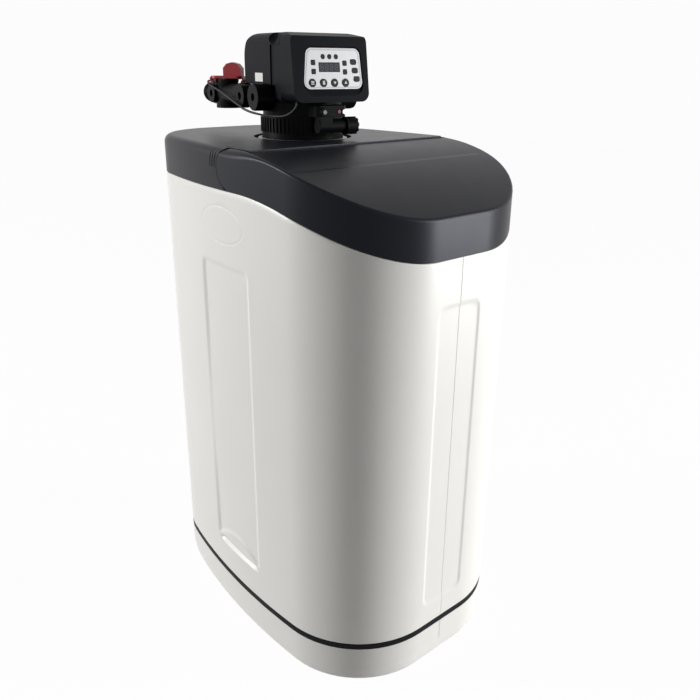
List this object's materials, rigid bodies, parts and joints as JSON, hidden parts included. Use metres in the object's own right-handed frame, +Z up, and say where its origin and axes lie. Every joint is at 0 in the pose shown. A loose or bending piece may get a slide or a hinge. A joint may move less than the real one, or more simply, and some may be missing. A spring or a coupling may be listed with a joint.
{
  "type": "water softener",
  "caption": "Cabinet water softener with a hinged salt lid, pressure tank, motor-driven control valve head and a bypass with a red handle.",
  "frame": {"origin": "on the floor under the middle of the cabinet", "axes": "+Z up, front faces -Y, +X to the right seen from the front"},
  "size_m": [0.32, 0.472, 0.77],
  "materials": {
    "white_moulding": "satin pearl",
    "charcoal_moulding": "fine grain",
    "black_band": "satin",
    "black_valve": "satin glass-filled",
    "head_plastic": "fine grain",
    "silver_panel": "satin",
    "dark_lens": "gloss",
    "button_black": "satin",
    "red_plastic": "satin",
    "white_plastic": "satin",
    "ceramic": "polished",
    "tank_liner": "wound fibre",
    "resin": "beads",
    "seal_rubber": "matt",
    "steel": "plain",
    "board": "satin",
    "cable": "matt"
  },
  "bodies": {
    "cabinet": {"cabinet_shell": "white_moulding", "base_tray": "white_moulding", "trim_band": "black_band", "rear_cover": "charcoal_moulding", "lid_pins": "steel", "tank_boot": "black_band", "resin_tank": "tank_liner", "resin_bed": "resin", "riser_tube": "white_plastic", "bottom_distributor": "black_valve", "top_distributor": "black_valve", "brine_well": "white_plastic", "brine_well_cap": "black_valve", "air_check": "white_plastic", "float_rod": "steel", "salt_plate": "white_plastic", "tank_collar": "white_plastic", "base_nut": "black_valve", "valve_body": "black_valve", "neck_oring": "seal_rubber", "riser_oring": "seal_rubber", "fixed_disc": "ceramic", "chamber_cover": "black_valve", "drive_plate": "black_valve", "drive_motor": "steel", "rear_housing": "head_plastic", "front_cover": "head_plastic", "circuit_board": "board", "panel_plate": "silver_panel", "display": "dark_lens", "indicator_lenses": "dark_lens", "status_lenses": "dark_lens", "side_label": "white_plastic", "port_plugs": "black_valve", "injector_nozzle": "white_plastic", "injector_cap": "black_valve", "flow_plug": "red_plastic", "drain_nut": "black_valve", "bypass_body": "black_valve", "flow_sensor": "black_valve", "sensor_cable": "cable", "valve_screws": "steel"},
    "lid": {"salt_lid": "charcoal_moulding"},
    "handle": {"bypass_handle": "red_plastic", "bypass_rotor": "white_plastic"},
    "menu_key": {"button_menu": "button_black"},
    "manual_key": {"button_manual": "button_black"},
    "down_key": {"button_down": "button_black"},
    "up_key": {"button_up": "button_black"},
    "disc_drive": {"main_gear": "white_plastic", "spindle": "steel", "moving_disc": "ceramic"},
    "pinion": {"motor_pinion": "white_plastic"},
    "impeller": {"flow_impeller": "white_plastic"},
    "float": {"brine_float": "white_plastic"}
  },
  "joints": [
    {"name": "lid_hinge", "type": "hinge", "parent": "cabinet", "child": "lid", "pos_m": [0, -0.021, 0.639], "axis": [-1, 0, 0], "range_deg": [0, 60]},
    {"name": "handle_turn", "type": "hinge", "parent": "cabinet", "child": "handle", "pos_m": [-0.03425, 0.16072, 0.6965], "axis": [0, 0, 1], "range_deg": [-45, 45]},
    {"name": "disc_turn", "type": "hinge", "parent": "cabinet", "child": "disc_drive", "pos_m": [0, 0.044, 0.7], "axis": [0, 0, 1], "continuous": true},
    {"name": "pinion_turn", "type": "hinge", "parent": "cabinet", "child": "pinion", "pos_m": [0.0061, 0.07859, 0.717], "axis": [0, 0, 1], "continuous": true},
    {"name": "impeller_spin", "type": "hinge", "parent": "cabinet", "child": "impeller", "pos_m": [-0.02783, 0.19716, 0.6965], "axis": [0.1736, 0.9848, 0], "continuous": true},
    {"name": "float_slide", "type": "slide", "parent": "cabinet", "child": "float", "axis": [0, 0, 1], "range_m": [0, 0.06]},
    {"name": "menu_press", "type": "slide", "parent": "cabinet", "child": "menu_key", "axis": [0.1717, 0.974, -0.1478], "range_m": [0, 0.0008], "stiffness_N_per_m": 400, "springref_m": -0.0005},
    {"name": "manual_press", "type": "slide", "parent": "cabinet", "child": "manual_key", "axis": [0.1717, 0.974, -0.1478], "range_m": [0, 0.0008], "stiffness_N_per_m": 400, "springref_m": -0.0005},
    {"name": "down_press", "type": "slide", "parent": "cabinet", "child": "down_key", "axis": [0.1717, 0.974, -0.1478], "range_m": [0, 0.0008], "stiffness_N_per_m": 400, "springref_m": -0.0005},
    {"name": "up_press", "type": "slide", "parent": "cabinet", "child": "up_key", "axis": [0.1717, 0.974, -0.1478], "range_m": [0, 0.0008], "stiffness_N_per_m": 400, "springref_m": -0.0005}
  ],
  "couplings": [
    {"joint": "pinion_turn", "follows": "disc_turn", "ratio": -4}
  ]
}
